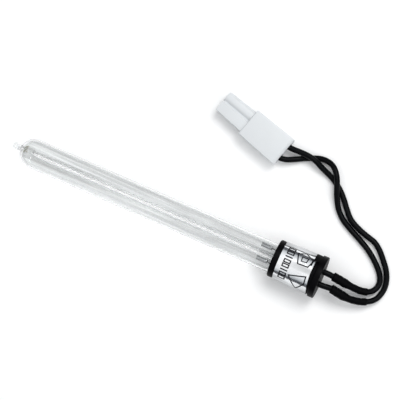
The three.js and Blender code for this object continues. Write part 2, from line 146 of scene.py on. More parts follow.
class LampSizes(bpy.types.PropertyGroup):
    """Sizes of the lamp that a user would change."""

    tube: length("Tube diameter", "Outside diameter of the quartz tube", 5.0)
    tube_wall: length("Tube wall", "Wall thickness of the quartz tube", 0.55)
    tip_knob: length("Tip knob", "Diameter of the sealed-off exhaust tip", 2.7)
    cup: length("Electrode cup", "Diameter of the nickel electrode cups", 1.5)
    cup_length: length("Cup length", "Length of the nickel electrode cups", 4.0)
    wire: length("Lead-in wire", "Diameter of the wires that hold the cups", 0.4)
    collar: length("Collar diameter", "Diameter of the ring at the cap's mouth", 13.2)
    label_front: length("Label front", "Diameter over the label at its front edge", 13.5)
    label_rear: length("Label rear", "Diameter over the label at its rear edge", 14.2)
    neck: length("Neck diameter", "Diameter of the step in front of the flange", 13.6)
    flange: length("Flange diameter", "Diameter of the rear flange", 14.8)


class CordSizes(bpy.types.PropertyGroup):
    """Sizes of the leads, sleeves and connector that a user would change."""

    lead: length("Lead diameter", "Diameter over the lead's insulation", 2.0)
    sleeve: length("Sleeve diameter", "Diameter of the shrink sleeve over the splice", 3.1)
    sleeve_tail: length("Sleeve tail", "Diameter of the sleeve where it grips the lead", 2.5)
    sleeve_length: length("Sleeve length", "Length of each shrink sleeve", 13.6)
    body_width: length("Connector width", "Width of the connector's body at its rear", 11.1)
    body_height: length("Connector height", "Height of the connector's body", 6.4)
    nose_width: length("Nose width", "Width of the connector's nose at its root", 8.6)
    nose_height: length("Nose height", "Height of the connector's nose", 4.8)


class LampColours(bpy.types.PropertyGroup):
    """Colours of the lamp's finishes."""

    quartz: colour("Quartz", "Tint of the quartz glass", "#fbfcfc")
    nickel: colour("Nickel", "Drawn nickel of the electrode cups", "#bcbec0")
    molybdenum: colour("Molybdenum", "Lead-in wires", "#4c4d50")
    moulding: colour("Black moulding", "Cap, collar and flange", "#060608")
    foil: colour("Foil", "Metallised label", "#f4f6f8")
    ink: colour("Ink", "Print on the label", "#0d0f12")
    insulation: colour("Lead insulation", "Insulation of the leads", "#050609")
    sleeve: colour("Shrink sleeve", "Sleeves over the splices", "#050507")
    nylon: colour("Nylon", "Connector housing", "#dadddf")
    copper: colour("Tinned copper", "Contacts and conductors", "#c9c4b8")
    resin: colour("Potting resin", "Resin cast in the cap", "#2b2b2e")
    mercury: colour("Mercury", "Droplets in the bend of the tube", "#b3af9c")
    table: colour("Table", "The surface under the lamp", "#ffffff")


def sizes():
    return bpy.context.scene.lamp_sizes


def cords():
    return bpy.context.scene.cord_sizes


def colours():
    return bpy.context.scene.lamp_colours


def mm(metres):
    return metres / MM


# ---- Where the lamp, its glass and the connector lie on the table ----


def bend_centre():
    """How far along the lamp the centre of the U's bend lies."""
    return TIP + TIP_LENGTH + mm(sizes().tube) / 2 + LEG_OFFSET


def lamp_place():
    """The lamp's frame on the table: it rests on its flange's front rim and its lower glass leg."""
    flange_radius = mm(sizes().flange) / 2
    drop = LEG_OFFSET * math.sin(LEG_ROLL) + mm(sizes().tube) / 2
    tilt = math.atan((flange_radius - drop) / (FLANGE_FRONT - bend_centre()))
    height = flange_radius * math.cos(tilt) - FLANGE_FRONT * math.sin(tilt)
    shift = -flange_radius * math.sin(tilt) / 2
    return Matrix.Translation((shift, 0, height)) @ Matrix.Rotation(-tilt, 4, "Y")


def leg_turn():
    """The plane of the U in the lamp's frame: off the cap's centre and rolled about its axis."""
    return Matrix.Translation((0, GLASS_OFFSET, 0)) @ Matrix.Rotation(LEG_ROLL, 4, "X")


def glass_place():
    return lamp_place() @ leg_turn()


def connector_place():
    """The connector's frame: X points out of its rear face, which stands at X 0."""
    return Matrix.Translation(CONNECTOR_REAR) @ Matrix.Rotation(CONNECTOR_HEADING, 4, "Z")


# ---- Materials: shared steps ----

# Noise seldom leaves this range, so its least and most are taken there.
PATTERN_RANGE = (0.3, 0.7)


def add_node(tree, kind, settings=None, **links):
    """Adds a shader node. settings sets attributes and inputs; links maps an input to a socket."""
    node = tree.nodes.new(kind)
    for key, value in (settings or {}).items():
        if key in node.inputs:
            node.inputs[key].default_value = value
        else:
            setattr(node, key, value)
    for key, socket in links.items():
        tree.links.new(socket, node.inputs[key.replace("_", " ")])
    return node


def pattern(tree, where, period, detail=3.0, stretch=(1, 1, 1)):
    """Noise whose features are period millimetres apart, drawn out by stretch along each axis."""
    scale = [1 / (period * MM * share) for share in stretch]
    place = add_node(tree, "ShaderNodeMapping", {"Scale": scale}, Vector=where).outputs["Vector"]
    settings = {"Scale": 1.0, "Detail": detail}
    return add_node(tree, "ShaderNodeTexNoise", settings, Vector=place).outputs["Fac"]


def surface(tree, base, settings, tint, gloss=None, grain=None):
    """A surface whose colour, roughness and relief are each led by a pattern.

    tint is a pattern with the darkest and the lightest share of the base colour, gloss a pattern
    with the lowest and the highest roughness, and grain a pattern with its depth in millimetres.
    """
    lead, *shares = tint
    ramp = add_node(tree, "ShaderNodeValToRGB", Fac=lead)
    for stop, place, share in zip(ramp.color_ramp.elements, PATTERN_RANGE, shares):
        stop.position = place
        stop.color = (*(share * part for part in base), 1)
    links = {"Base_Color": ramp.outputs["Color"]}
    if gloss:
        lead, low, high = gloss
        least, most = PATTERN_RANGE
        ends = {"From Min": least, "From Max": most, "To Min": low, "To Max": high}
        links["Roughness"] = add_node(tree, "ShaderNodeMapRange", ends, Value=lead).outputs["Result"]
    if grain:
        lead, depth = grain
        ends = {"Strength": 1.0, "Distance": depth * MM}
        links["Normal"] = add_node(tree, "ShaderNodeBump", ends, Height=lead).outputs["Normal"]
    return add_node(tree, "ShaderNodeBsdfPrincipled", settings, **links).outputs["BSDF"]


# ---- Materials: one function each, from object coordinates to a shader ----


def fused_quartz(tree, where):
    """Fused quartz drawn into tube: colourless, with long faint draw lines along the tube, and painted
    grey streaks of reflection along it.
    """
    lines = pattern(tree, where, 0.5, 2.0, stretch=(60, 1, 1))
    # Painted reflection: these streaks darken the glass's colour in long grey bands along the tube.
    streaks = pattern(tree, where, 1.3, 2.0, stretch=(90, 1, 1))
    least, most = PATTERN_RANGE
    ends = {"From Min": least, "From Max": most}
    painted_streak_shade = add_node(tree, "ShaderNodeMapRange", ends, Value=streaks).outputs["Result"]
    glass = surface(
        tree, colours().quartz, {"IOR": 1.458, "Transmission Weight": 1.0},
        tint=(painted_streak_shade, 0.8, 1.0), gloss=(lines, 0.0, 0.05),
    )
    # Clear glass casts only a faint shadow: each wall passes this share of the light.
    passed = 0.87
    clear = add_node(tree, "ShaderNodeBsdfTransparent", {"Color": (passed, passed, passed, 1)})
    shadow = add_node(tree, "ShaderNodeLightPath").outputs["Is Shadow Ray"]
    both = add_node(tree, "ShaderNodeMixShader", Fac=shadow)
    tree.links.new(glass, both.inputs[1])
    tree.links.new(clear.outputs["BSDF"], both.inputs[2])
    return both.outputs["Shader"]


def drawn_nickel(tree, where):
    """Nickel cups drawn from sheet: bright, with fine lines along the draw."""
    lines = pattern(tree, where, 0.12, 2.0, stretch=(12, 1, 1))
    return surface(
        tree, colours().nickel, {"Metallic": 1.0},
        tint=(lines, 0.85, 1.0), gloss=(lines, 0.08, 0.16), grain=(lines, 0.006),
    )


def drawn_molybdenum(tree, where):
    """Molybdenum lead-in wire: dark grey, drawn, slightly oxidised."""
    lines = pattern(tree, where, 0.1, 2.0, stretch=(15, 1, 1))
    return surface(
        tree, colours().molybdenum, {"Metallic": 1.0},
        tint=(lines, 0.6, 1.0), gloss=(lines, 0.3, 0.45),
    )


def moulded_black(tree, where):
    """Black PBT moulded in a spark-finished tool: satin, with a fine grain."""
    fine = pattern(tree, where, 0.25, 4.0)
    cloudy = pattern(tree, where, 5.0, 2.0)
    return surface(
        tree, colours().moulding, {"IOR": 1.5, "Specular IOR Level": 0.05},
        tint=(cloudy, 0.6, 1.0), gloss=(cloudy, 0.36, 0.5), grain=(fine, 0.012),
    )


def metallised_foil(tree, where):
    """Metallised polyester label: mirror bright and waved, with painted grey pools of reflection and
    painted shade darkening it down the sides of the barrel.
    """
    # The waves shape the film's relief and also tint its colour, as painted grey pools of reflection.
    waves = pattern(tree, where, 3.4, 1.5, stretch=(4, 1, 1))
    fine = pattern(tree, where, 0.6, 3.0)
    share_of_fine = 0.04
    # Painted shade: below these heights the foil's colour is darkened, standing in for the shaded table
    # that its sides mirror.
    painted_shade_below, unshaded_above = 10.3 * MM, 12.3 * MM
    both = add_node(tree, "ShaderNodeMath", {"operation": "MULTIPLY_ADD"})
    tree.links.new(fine, both.inputs[0])
    both.inputs[1].default_value = share_of_fine
    tree.links.new(waves, both.inputs[2])
    height = add_node(tree, "ShaderNodeSeparateXYZ", Vector=where).outputs["Z"]
    ends = {"From Min": painted_shade_below, "From Max": unshaded_above, "To Min": -0.14, "To Max": 0.2}
    painted_shade_by_height = add_node(tree, "ShaderNodeMapRange", ends, Value=height)
    painted_pools_and_shade = add_node(tree, "ShaderNodeMath", {"operation": "ADD"})
    tree.links.new(waves, painted_pools_and_shade.inputs[0])
    tree.links.new(painted_shade_by_height.outputs["Result"], painted_pools_and_shade.inputs[1])
    return surface(
        tree, colours().foil, {"Metallic": 0.9}, tint=(painted_pools_and_shade.outputs["Value"], 0.36, 1.0),
        gloss=(fine, 0.1, 0.18), grain=(both.outputs["Value"], 0.16),
    )


def printed_ink(tree, where):
    """Black screen ink on the label: thin, slightly open where it misses the film."""
    specks = pattern(tree, where, 0.15, 3.0)
    return surface(
        tree, colours().ink, {"IOR": 1.5, "Specular IOR Level": 0.15},
        tint=(specks, 1.0, 1.8), gloss=(specks, 0.35, 0.5),
    )


def extruded_insulation(tree, where):
    """Black silicone rubber extruded over the strands: satin, with slow changes in its gloss."""
    slow = pattern(tree, where, 3.0, 2.0)
    fine = pattern(tree, where, 0.2, 3.0)
    return surface(
        tree, colours().insulation, {"IOR": 1.45, "Specular IOR Level": 0.08},
        tint=(slow, 0.7, 1.0), gloss=(slow, 0.26, 0.4), grain=(fine, 0.01),
    )


def shrunk_sleeve(tree, where):
    """Polyolefin heat-shrink tube: duller than the lead, faintly uneven where it has drawn in."""
    uneven = pattern(tree, where, 0.5, 2.0)
    slow = pattern(tree, where, 2.5, 2.0)
    return surface(
        tree, colours().sleeve, {"IOR": 1.48, "Specular IOR Level": 0.05},
        tint=(slow, 0.7, 1.0), gloss=(slow, 0.42, 0.58), grain=(uneven, 0.04),
    )


def moulded_nylon(tree, where):
    """Natural nylon 66, injection moulded: milky white, light passes a little way into it."""
    cloudy = pattern(tree, where, 6.0, 2.0)
    fine = pattern(tree, where, 0.3, 3.0)
    settings = {
        "IOR": 1.53, "Subsurface Weight": 0.15, "Subsurface Radius": (1.0, 0.95, 0.9),
        "Subsurface Scale": 0.8 * MM,
    }
    return surface(
        tree, colours().nylon, settings,
        tint=(cloudy, 0.97, 1.0), gloss=(cloudy, 0.38, 0.5), grain=(fine, 0.008),
    )


def tinned_copper(tree, where):
    """Copper with a tin plate: pale, soft gloss, streaked by forming."""
    streaks = pattern(tree, where, 0.2, 2.0, stretch=(8, 8, 1))
    return surface(
        tree, colours().copper, {"Metallic": 1.0},
        tint=(streaks, 0.75, 1.0), gloss=(streaks, 0.28, 0.42), grain=(streaks, 0.01),
    )


def cast_resin(tree, where):
    """Filled epoxy poured into the cap: dull, with a settled, faintly pitted face."""
    pits = pattern(tree, where, 0.4, 4.0)
    return surface(
        tree, colours().resin, {"IOR": 1.55},
        tint=(pits, 0.6, 1.3), gloss=(pits, 0.5, 0.7), grain=(pits, 0.05),
    )


def liquid_mercury(tree, where):
    """Mercury condensed in the bend: olive grey, since it mirrors the glass round it."""
    dull = pattern(tree, where, 0.3, 3.0)
    return surface(
        tree, colours().mercury, {"Metallic": 0.7}, tint=(dull, 0.6, 1.0), gloss=(dull, 0.25, 0.5)
    )


def white_table(tree, where):
    """White laminate, very slightly uneven."""
    cloudy = pattern(tree, where, 40.0, 2.0)
    settings = {"Specular IOR Level": 0.0, "Roughness": 0.9}
    return surface(tree, colours().table, settings, tint=(cloudy, 0.99, 1.0))


# Each finish: the name of its material, the function that makes it, and the record's slot.
FINISHES = {
    "quartz": ("fused_quartz_drawn", fused_quartz, "quartz"),
    "nickel": ("nickel_drawn", drawn_nickel, "nickel"),
    "molybdenum": ("molybdenum_drawn", drawn_molybdenum, "nickel"),
    "moulding": ("pbt_black_moulded", moulded_black, "black_moulding"),
    "foil": ("polyester_film_metallised", metallised_foil, "foil"),
    "ink": ("screen_ink_black", printed_ink, "foil"),
    "insulation": ("silicone_rubber_extruded", extruded_insulation, "lead_insulation"),
    "sleeve": ("polyolefin_heat_shrunk", shrunk_sleeve, "shrink_sleeve"),
    "nylon": ("nylon_66_moulded", moulded_nylon, "nylon"),
    "copper": ("copper_tin_plated", tinned_copper, "tinned_copper"),
    "resin": ("epoxy_cast_filled", cast_resin, "potting_resin"),
    "mercury": ("mercury_condensed", liquid_mercury, None),
    "table": ("laminate_white", white_table, None),
}
made_materials = {}


def material_of(finish):
    """The material of a finish, made when it is first asked for."""
    if finish not in made_materials:
        name, shader, _ = FINISHES[finish]
        material = bpy.data.materials.new(name)
        material.use_nodes = True
        tree = material.node_tree
        tree.nodes.clear()
        where = add_node(tree, "ShaderNodeTexCoord").outputs["Object"]
        add_node(tree, "ShaderNodeOutputMaterial", Surface=shader(tree, where))
        made_materials[finish] = material
    return made_materials[finish]


# ---- Shaping helpers ----

MERGE = 1e-4


def linked(name, data):
    """An object in the scene that shows the data."""
    made = bpy.data.objects.new(name, data)
    bpy.context.scene.collection.objects.link(made)
    return made


def add_piece(name, data, finish, smooth=40):
    """Makes a piece of the lamp from a mesh or curve that is already in its place."""
    data.name = name
    piece = linked(name, data)
    data.materials.append(material_of(finish))
    if isinstance(data, bpy.types.Mesh):
        data.shade_smooth()
        data.set_sharp_from_angle(angle=math.radians(smooth))
    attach(piece, "root")
    return piece


def refine(node, data, finish, smooth=40):
    """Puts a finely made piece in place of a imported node."""
    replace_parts(add_piece(f"{node}_fine", data, finish, smooth), node)


def to_mesh(bm, turn_outwards=True):
    """Ends a bmesh as a mesh with its doubles merged."""
    bmesh.ops.remove_doubles(bm, verts=bm.verts, dist=MERGE)
    if turn_outwards:
        bmesh.ops.recalc_face_normals(bm, faces=bm.faces)
    mesh = bpy.data.meshes.new("shape")
    bm.to_mesh(mesh)
    bm.free()
    return mesh


def on_table(bm, place=Matrix.Identity(4), turn_outwards=True):
    """Ends a bmesh in millimetres as a mesh in metres, in its place on the table."""
    mesh = to_mesh(bm, turn_outwards)
    mesh.transform(Matrix.Scale(MM, 4) @ place)
    return mesh


def turned(profile, steps=96):
    """Spins a profile of (x, radius) points round the X axis into a closed shape."""
    bm = bmesh.new()
    verts = [bm.verts.new((x, 0, radius)) for x, radius in profile]
    edges = [bm.edges.new(pair) for pair in zip(verts, verts[1:])]
    bmesh.ops.spin(
        bm, geom=verts + edges, cent=(0, 0, 0), axis=(1, 0, 0), angle=FULL_TURN,
        steps=steps, use_merge=True,
    )
    return bm


def rounded(profile, radius, steps=4):
    """Rounds the inner corners of an (x, radius) profile with arcs."""
    points = [Vector(p) for p in profile]
    result = [points[0]]
    for before, corner, after in zip(points, points[1:], points[2:]):
        back, on = (before - corner), (after - corner)
        reach = min(radius, 0.45 * back.length, 0.45 * on.length)
        start, end = corner + reach * back.normalized(), corner + reach * on.normalized()
        for i in range(steps + 1):
            t = i / steps
            result.append(start.lerp(corner, t).lerp(corner.lerp(end, t), t))
    return [tuple(p) for p in [*result, points[-1]]]


def soften(bm, edges, width, segments):
    """Rounds edges over, or chamfers them flat with one segment."""
    bmesh.ops.bevel(
        bm, geom=list(edges), offset=width, segments=segments, profile=0.5,
        affect="EDGES", material=-1,
    )


def box(low, high, bevel=0.0, segments=4, axis=None):
    """A box between two corners, with its edges (or only those along one axis) rounded over."""
    bm = bmesh.new()
    size = Vector(high) - Vector(low)
    middle = (Vector(high) + Vector(low)) / 2
    matrix = Matrix.Translation(middle) @ Matrix.Diagonal((*size, 1))
    bmesh.ops.create_cube(bm, size=1, matrix=matrix)
    edges = set(bm.edges)
    if axis is not None:
        edges = {e for e in edges if abs((e.verts[0].co - e.verts[1].co)[axis]) > MERGE}
    if bevel:
        soften(bm, edges, bevel, segments)
    return bm


def rod(start, end, radius, segments=48):
    """A plain closed cylinder along X, used as a cutting tool."""
    return turned([(start, 0), (start, radius), (end, radius), (end, 0)], segments)


def shifted(bm, offset):
    bmesh.ops.translate(bm, verts=bm.verts, vec=offset)
    return bm


def discard(made):
    """Removes an object that was only a step, and its mesh."""
    data = made.data
    bpy.data.objects.remove(made)
    bpy.data.meshes.remove(data)


def combined(bm, *steps):
    """Joins or cuts solids in turn: each step is ("UNION" or "DIFFERENCE", bmesh)."""
    base = linked("base", to_mesh(bm))
    for operation, tool_bm in steps:
        tool = linked("tool", to_mesh(tool_bm))
        modifier = base.modifiers.new(operation, "BOOLEAN")
        modifier.operation = operation
        modifier.object = tool
        modifier.solver = "MANIFOLD"
        bpy.context.view_layer.update()
        graph = bpy.context.evaluated_depsgraph_get()
        result = bpy.data.meshes.new_from_object(base.evaluated_get(graph))
        discard(base)
        discard(tool)
        base = linked("base", result)
        bpy.context.view_layer.update()
    whole = bmesh.new()
    whole.from_mesh(base.data)
    discard(base)
    bpy.context.view_layer.update()
    return whole


# ---- Lines that the leads follow ----


def smooth_line(points, per_span=12):
    """A centripetal Catmull-Rom line through the points, which keeps tight bends from looping."""
    points = [Vector(p) for p in points]
    ends = [2 * points[0] - points[1], *points, 2 * points[-1] - points[-2]]
    line = []
    for i in range(len(points) - 1):
        a, b, c, d = ends[i : i + 4]
        knots = [0.0]
        for here, there in ((a, b), (b, c), (c, d)):
            knots.append(knots[-1] + (there - here).length ** 0.5)
        k0, k1, k2, k3 = knots
        for step in range(per_span):
            t = k1 + (k2 - k1) * step / per_span
            ab = a.lerp(b, (t - k0) / (k1 - k0))
            bc = b.lerp(c, (t - k1) / (k2 - k1))
            cd = c.lerp(d, (t - k2) / (k3 - k2))
            abc = ab.lerp(bc, (t - k0) / (k2 - k0))
            bcd = bc.lerp(cd, (t - k1) / (k3 - k1))
            line.append(abc.lerp(bcd, (t - k1) / (k2 - k1)))
    return [*line, points[-1]]


def line_length(line):
    return sum((b - a).length for a, b in zip(line, line[1:]))


def stretch_of(line, start, end, step=0.5):
    """Points along a line between two lengths measured on it, about step apart."""
    count = max(2, round((end - start) / step))
    wanted = [start + (end - start) * i / count for i in range(count + 1)]
    found, run = [], 0.0
    for a, b in zip(line, line[1:]):
        span = (b - a).length
        while wanted and wanted[0] <= run + span + 1e-9:
            found.append(a.lerp(b, (wanted.pop(0) - run) / span))
        run += span
    return found + [line[-1]] * len(wanted)


def lay_tube(node, points, radii, finish, sides=5):
    """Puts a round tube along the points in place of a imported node, with a radius at each point."""
    curve = bpy.data.curves.new(node, "CURVE")
    curve.dimensions = "3D"
    curve.bevel_depth = MM
    curve.bevel_resolution = sides
    curve.use_fill_caps = True
    spline = curve.splines.new("POLY")
    spline.points.add(len(points) - 1)
    for knot, point, radius in zip(spline.points, points, radii):
        knot.co = (*(point * MM), 1)
        knot.radius = radius
    refine(node, curve, finish)


def lead_line(facts):
    """A lead's whole centreline, from inside the cap to inside the connector."""
    place = lamp_place()
    across = facts["side"] * LEAD_PITCH / 2
    stations = (STUB_FRONT, FLANGE_FRONT, REAR + 1.2)
    inside = [place @ Vector((x, across, 0)) for x in stations]
    return smooth_line([*inside, *facts["route"]])


def splice_start(facts):
    """Where the sleeve starts, measured along the lead's centreline."""
    return REAR - STUB_FRONT + facts["splice"]


def ferrule_start(facts):
    return splice_start(facts) + FERRULE_INSET


def plug_lead_start(facts):
    return ferrule_start(facts) + FERRULE_LENGTH + FERRULE_GAP


# ---- Operators: the camera and the leads ----


class LAMP_OT_camera(bpy.types.Operator):
    """Sets up the camera, above the table and leaning a little towards the cap"""

    bl_idname = "uvlamp.camera"
    bl_label = "Camera"

    TARGET = (8.97, 7.824, 3.0)
    LEAN = math.radians(6.0)
    TURN = math.radians(23.606)
    DISTANCE = 750
    LENS = 198.044

    def execute(self, context):
        lean = Vector((math.tan(self.LEAN), 0, 1)).normalized()
        across = Vector((-math.sin(self.TURN), math.cos(self.TURN), 0)).cross(lean).normalized()
        up = lean.cross(across)
        data = bpy.data.cameras.new("camera")
        data.sensor_width = 36.0
        data.lens = self.LENS
        data.clip_start = 0.01
        data.clip_end = 20.0
        camera = linked("camera", data)
        facing = Matrix((across, up, lean)).transposed().to_4x4()
        spot = (Vector(self.TARGET) + self.DISTANCE * lean) * MM
        camera.matrix_world = Matrix.Translation(spot) @ facing
        context.scene.camera = camera
        return {"FINISHED"}


class LAMP_OT_leads(bpy.types.Operator):
    """Lays the two leads from their splices to the connector, and the lamp's own short leads"""

    bl_idname = "uvlamp.leads"
    bl_label = "Leads"

    def execute(self, context):
        radius = mm(cords().lead) / 2
        for name, facts in LEADS.items():
            line = lead_line(facts)
            run = stretch_of(line, plug_lead_start(facts), line_length(line))
            lay_tube(f"plug_lead_{name}", run, [radius] * len(run), "insulation")
            stub = stretch_of(line, 0.0, ferrule_start(facts) - FERRULE_GAP)
            lay_tube(f"lamp_lead_{name}", stub, [radius + 0.02] * len(stub), "insulation")
        return {"FINISHED"}


class LAMP_OT_sleeves(bpy.types.Operator):
    """Shrinks a sleeve over each splice, thick over the joint and tight on the lead behind it"""

    bl_idname = "uvlamp.sleeves"
    bl_label = "Shrink sleeves"

    SWOLLEN = 5.2
    NECKING = 1.6
    LIP = 0.25
    MOUTH = 1.02

    def execute(self, context):
        long = mm(cords().sleeve_length)
        for name, facts in LEADS.items():
            start = splice_start(facts)
            points = stretch_of(lead_line(facts), start, start + long, 0.25)
            last = len(points) - 1
            radii = [self.radius(long * i / last, long) for i in range(len(points))]
            lay_tube(f"shrink_sleeve_{name}", points, radii, "sleeve", 8)
        return {"FINISHED"}

    def radius(self, at, long):
        """The radius at a length along the sleeve: round lips, a rippled splice and a tight tail."""
        full, tail = mm(cords().sleeve) / 2, mm(cords().sleeve_tail) / 2
        share = min(1.0, max(0.0, (at - self.SWOLLEN) / self.NECKING))
        body = full + (tail - full) * share * share * (3 - 2 * share)
        ripple = 0.03 * math.sin(at * 3.1) + 0.02 * math.sin(at * 5.3 + 1.0)
        edge = min(at, long - at)
        rounding = 1.0 if edge > self.LIP else math.sqrt(1 - (1 - edge / self.LIP) ** 2)
        return self.MOUTH + (body + ripple - self.MOUTH) * rounding


# ---- Operators: glass and electrodes ----


class LAMP_OT_quartz_tube(bpy.types.Operator):
    """Bends the quartz tube into a U and draws out its sealed exhaust tip"""

    bl_idname = "uvlamp.quartz_tube"
    bl_label = "Quartz tube"

    def execute(self, context):
        outer = mm(sizes().tube) / 2
        glass = self.bent_wall(outer)
        bmesh.ops.solidify(glass, geom=glass.faces, thickness=mm(sizes().tube_wall))
        bend = TIP + TIP_LENGTH
        whole = combined(glass, ("UNION", self.tip(bend)), ("DIFFERENCE", self.bore(bend)))
        refine("quartz_tube", on_table(whole, glass_place(), turn_outwards=False), "quartz", 60)
        return {"FINISHED"}

    @staticmethod
    def tip(bend):
        """The drawn-off exhaust tip: a round knob on a waist, flared into the bend."""
        knob = mm(sizes().tip_knob) / 2
        flare = bend + 0.35
        outline = [
            (TIP, 0), (TIP + 0.05, 0.5 * knob), (TIP + 0.5, 0.92 * knob), (TIP + 1.15, knob),
            (TIP + 1.7, 0.86 * knob), (TIP + 2.25, 0.6 * knob), (TIP + 2.8, 0.66 * knob),
            (flare, 0.95 * knob), (flare, 0),
        ]
        return turned(rounded(outline, 0.4), 40)

    @staticmethod
    def bore(bend):
        """What is left of the exhaust bore, narrowing to nothing inside the knob."""
        root = bend + 0.7
        return turned([(TIP + 1.5, 0), (TIP + 2.2, 0.14), (root, 0.34), (root, 0)], 20)

    @staticmethod
    def bent_wall(radius):
        """The outer wall of the U, open at both rims: two straight legs and the bend."""
        centre = bend_centre()
        rings = 12
        step = ((GLASS_END - centre) / rings, 0, 0)
        bm = bmesh.new()
        turn_up = Matrix.Rotation(math.pi / 2, 4, "Y")
        place = Matrix.Translation((centre, LEG_OFFSET, 0)) @ turn_up
        ring = bmesh.ops.create_circle(
            bm, cap_ends=False, radius=radius, segments=64, matrix=place
        )["verts"]
        first = list({e for v in ring for e in v.link_edges})
        last = bmesh.ops.spin(
            bm, geom=ring + first, cent=(centre, 0, 0), axis=(0, 0, 1), angle=math.pi, steps=48,
            use_merge=False,
        )["geom_last"]
        for rim in (first, [g for g in last if isinstance(g, bmesh.types.BMEdge)]):
            for _ in range(rings):
                grown = bmesh.ops.extrude_edge_only(bm, edges=rim)["geom"]
                verts = {g for g in grown if isinstance(g, bmesh.types.BMVert)}
                edges = [g for g in grown if isinstance(g, bmesh.types.BMEdge)]
                bmesh.ops.translate(bm, verts=list(verts), vec=step)
                rim = [e for e in edges if verts.issuperset(e.verts)]
        bmesh.ops.recalc_face_normals(bm, faces=bm.faces)
        return bm


class LAMP_OT_mercury(bpy.types.Operator):
    """Scatters the condensed mercury inside the bend"""

    bl_idname = "uvlamp.mercury"
    bl_label = "Mercury droplets"

    COUNT = 40

    def execute(self, context):
        inner = mm(sizes().tube) / 2 - mm(sizes().tube_wall)
        drops = bmesh.new()
        for i in range(self.COUNT):
            # Steps of unlike fractions spread the drops evenly without a random draw.
            swing = math.radians(-16 + 34 * ((i * 0.618) % 1.0))
            lift = math.radians(112 + 46 * ((i * 0.755 + 0.3) % 1.0))
            size = 0.09 + 0.17 * ((i * 0.37 + 0.11) % 1.0)
            reach = inner - 0.6 * size
            ring = LEG_OFFSET - reach * math.cos(lift)
            spot = Vector((
                bend_centre() - ring * math.cos(swing), ring * math.sin(swing),
                -reach * math.sin(lift),
            ))
            bmesh.ops.create_icosphere(
                drops, subdivisions=2, radius=size, matrix=Matrix.Translation(spot)
            )
        add_piece("mercury_droplets", on_table(drops, glass_place()), "mercury", 80)
        return {"FINISHED"}


class LAMP_OT_electrodes(bpy.types.Operator):
    """Stands the two nickel cups in the legs, each on its lead-in wire"""

    bl_idname = "uvlamp.electrodes"
    bl_label = "Electrodes"

    SHEET = 0.12

    def execute(self, context):
        outer = mm(sizes().cup) / 2
        inner = outer - self.SHEET
        front = CUP_REAR - mm(sizes().cup_length)
        floor = CUP_REAR - 0.8
        outline = [
            (CUP_REAR, 0), (CUP_REAR, 0.85 * outer), (CUP_REAR - 0.3, outer), (front, outer),
            (front, inner), (floor, inner), (floor, 0),
        ]
        for name, leg in LEGS.items():
            place = glass_place() @ Matrix.Translation((0, leg["side"] * LEG_OFFSET, 0))
            cup = shifted(turned(rounded(outline, self.SHEET), 48), (0, *leg["cup"]))
            refine(f"electrode_cup_{name}", on_table(cup, place), "nickel")
            self.wire(name, leg, place)
        return {"FINISHED"}

    @staticmethod
    def wire(name, leg, place):
        """The lead-in wire, from the cup through the bead to the lamp's own lead."""
        y, z = leg["cup"]
        across = leg["side"] * LEAD_PITCH / 2 - GLASS_OFFSET
        end = Vector((
            across * math.cos(LEG_ROLL) - leg["side"] * LEG_OFFSET, -across * math.sin(LEG_ROLL),
        ))
        route = [
            (CUP_REAR - 0.1, y, z), (CUP_REAR + 0.9, 0.7 * y, 0.7 * z), (CAP_FRONT + 1, 0, 0),
            (GLASS_END - 2, 0, 0), (GLASS_END, 0, 0), (GLASS_END + 1.4, 0.8 * end.x, 0.8 * end.y),
            (STUB_FRONT - 0.3, end.x, end.y),
        ]
        points = [place @ p for p in smooth_line(route, 8)]
        radii = [mm(sizes().wire) / 2] * len(points)
        lay_tube(f"lead_in_wire_{name}", points, radii, "molybdenum", 3)


# ---- Operators: the cap ----


def label_radius(x):
    """Radius over the label, which widens a little towards the flange."""
    front, rear = mm(sizes().label_front) / 2, mm(sizes().label_rear) / 2
    return front + (rear - front) * (x - COLLAR_REAR) / (NECK_FRONT - COLLAR_REAR)


class LAMP_OT_collar(bpy.types.Operator):
    """Makes the black collar with the slot that both legs pass"""

    bl_idname = "uvlamp.collar"
    bl_label = "Front collar"

    def execute(self, context):
        radius = mm(sizes().collar) / 2
        rear = COLLAR_REAR + 0.1
        outline = [(CAP_FRONT, 0), (CAP_FRONT, radius), (rear, radius), (rear, 0)]
        ring = turned(rounded(outline, 0.55, 6))
        reach = mm(sizes().tube) / 2 + 0.3
        slot = box(
            (CAP_FRONT - 1, -LEG_OFFSET - reach, -reach),
            (COLLAR_REAR + 1, LEG_OFFSET + reach, reach), 0.999 * reach, 16, 0,
        )
        bmesh.ops.transform(slot, matrix=leg_turn(), verts=slot.verts)
        whole = combined(ring, ("DIFFERENCE", slot))
        refine("front_collar", on_table(whole, lamp_place()), "moulding")
        return {"FINISHED"}


class LAMP_OT_shell(bpy.types.Operator):
    """Makes the cap's barrel under the label"""

    bl_idname = "uvlamp.shell"
    bl_label = "Cap shell"

    WALL = 0.8

    def execute(self, context):
        front, rear = COLLAR_REAR + 0.12, NECK_FRONT - 0.02
        inset = LABEL_THICKNESS + 0.06
        outer = [(x, label_radius(x) - inset) for x in (front, rear)]
        inner = [(x, radius - self.WALL) for x, radius in reversed(outer)]
        shell = turned([*outer, *inner, outer[0]])
        refine("cap_shell", on_table(shell, lamp_place()), "moulding")
        return {"FINISHED"}


